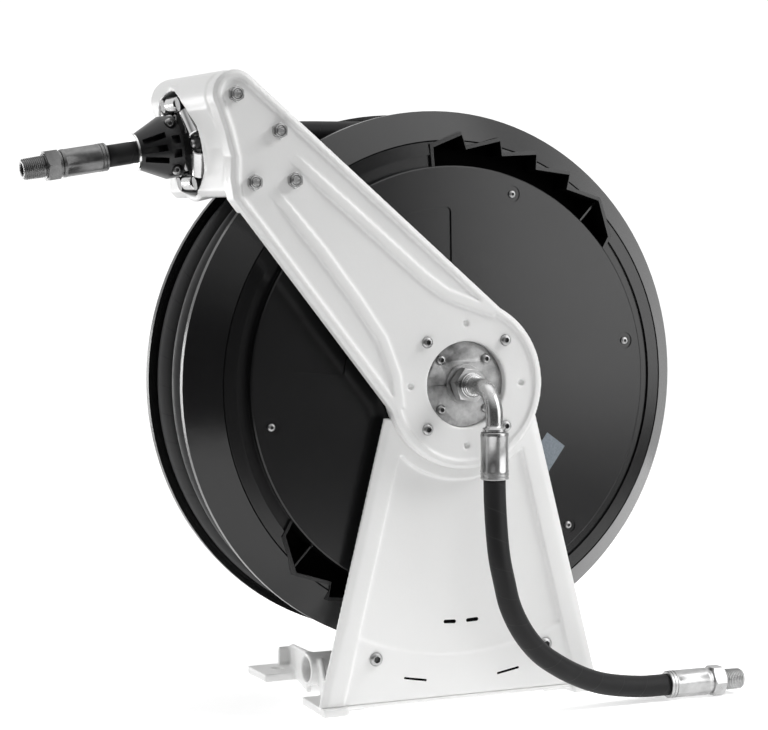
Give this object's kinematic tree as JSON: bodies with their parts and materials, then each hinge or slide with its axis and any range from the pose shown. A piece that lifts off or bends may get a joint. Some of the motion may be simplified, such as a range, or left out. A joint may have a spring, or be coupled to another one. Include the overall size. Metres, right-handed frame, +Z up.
{
  "type": "spring-rewind hose reel",
  "caption": "Open spring-rewind hose reel: cast upright and arm, ribbed plastic drum on a hollow spindle, roller hose guide, hose stop and inlet hose.",
  "frame": {"origin": "centre of the four anchor holes, on the floor", "axes": "+X to the right seen from the arm side, +Y to the back along the drum axis, +Z up"},
  "size_m": [0.663, 0.3139, 0.5995],
  "materials": {
    "white_paint": "satin powder coat on a casting",
    "drum_plastic": "fine-grained glass-filled moulding",
    "guide_plastic": "moulded, satin",
    "hose_rubber": "fabric-marked matt rubber cover",
    "zinc_plate": "bright zinc plate",
    "screw_steel": "zinc-plated steel",
    "roller_chrome": "polished",
    "raw_casting": "as cast, unpainted",
    "spring_steel": "blued spring strip",
    "blank_label": "plain film, no print"
  },
  "bodies": {
    "stand": {"base": "white_paint", "pedestal": "white_paint", "pedestal_screws": "screw_steel", "arm": "white_paint", "arm_screws": "screw_steel", "guide_head": "white_paint", "head_bolts": "zinc_plate", "head_nuts": "zinc_plate", "spindle": "screw_steel", "spindle_flange": "raw_casting", "hub_screws": "screw_steel", "spring_arbor": "screw_steel", "spindle_washer": "zinc_plate", "spindle_nut": "zinc_plate", "inlet_adapter": "zinc_plate", "inlet_nut": "zinc_plate", "inlet_elbow": "zinc_plate", "elbow_ferrule": "zinc_plate", "inlet_hose": "hose_rubber", "inlet_ferrule": "zinc_plate", "inlet_fitting": "zinc_plate", "guide_frame": "guide_plastic", "guide_pins": "screw_steel", "guide_screws": "screw_steel", "hose_stop_front": "guide_plastic", "hose_stop_rear": "guide_plastic", "hose_stop_screws": "screw_steel", "hose_stop_nuts": "screw_steel", "hose_stop_washer": "screw_steel", "hose_lead": "hose_rubber", "outlet_ferrule": "zinc_plate", "outlet_fitting": "zinc_plate", "pawl_pin": "screw_steel", "pawl_spring": "spring_steel"},
    "drum": {"flange_front": "drum_plastic", "flange_rear": "drum_plastic", "drum_core": "drum_plastic", "drum_cover": "drum_plastic", "cover_screws": "screw_steel", "cover_label": "blank_label", "tie_screws": "screw_steel", "hose_pack": "hose_rubber", "power_spring": "spring_steel", "bush_front": "raw_casting", "bush_rear": "raw_casting", "swivel_housing": "zinc_plate", "swivel_pipe": "zinc_plate", "rear_cap": "drum_plastic"},
    "pawl": {"pawl": "screw_steel"},
    "roller_top": {"roller_top": "roller_chrome"},
    "roller_front_upper": {"roller_front_upper": "roller_chrome"},
    "roller_front_lower": {"roller_front_lower": "roller_chrome"},
    "roller_bottom": {"roller_bottom": "roller_chrome"},
    "roller_rear_lower": {"roller_rear_lower": "roller_chrome"},
    "roller_rear_upper": {"roller_rear_upper": "roller_chrome"}
  },
  "joints": [
    {"name": "drum_spin", "type": "hinge", "parent": "stand", "child": "drum", "pos_m": [0, -0.011, 0.307], "axis": [0, -1, 0], "continuous": true},
    {"name": "pawl_swing", "type": "hinge", "parent": "stand", "child": "pawl", "pos_m": [-0.02956, -0.099, 0.09667], "axis": [0, 1, 0], "range_deg": [0, 25], "stiffness_Nm_per_rad": 0.02},
    {"name": "roller_top_spin", "type": "hinge", "parent": "stand", "child": "roller_top", "pos_m": [-0.2448, -0.0125, 0.57268], "axis": [0, -1, 0], "continuous": true},
    {"name": "roller_front_upper_spin", "type": "hinge", "parent": "stand", "child": "roller_front_upper", "pos_m": [-0.2409, -0.04498, 0.55434], "axis": [0.1801, -0.5, -0.8471], "continuous": true},
    {"name": "roller_front_lower_spin", "type": "hinge", "parent": "stand", "child": "roller_front_lower", "pos_m": [-0.2331, -0.04498, 0.51766], "axis": [0.1801, 0.5, -0.8471], "continuous": true},
    {"name": "roller_bottom_spin", "type": "hinge", "parent": "stand", "child": "roller_bottom", "pos_m": [-0.2292, -0.0125, 0.49932], "axis": [0, 1, 0], "continuous": true},
    {"name": "roller_rear_lower_spin", "type": "hinge", "parent": "stand", "child": "roller_rear_lower", "pos_m": [-0.2331, 0.01998, 0.51766], "axis": [-0.1801, 0.5, 0.8471], "continuous": true},
    {"name": "roller_rear_upper_spin", "type": "hinge", "parent": "stand", "child": "roller_rear_upper", "pos_m": [-0.2409, 0.01998, 0.55434], "axis": [-0.1801, -0.5, 0.8471], "continuous": true}
  ]
}
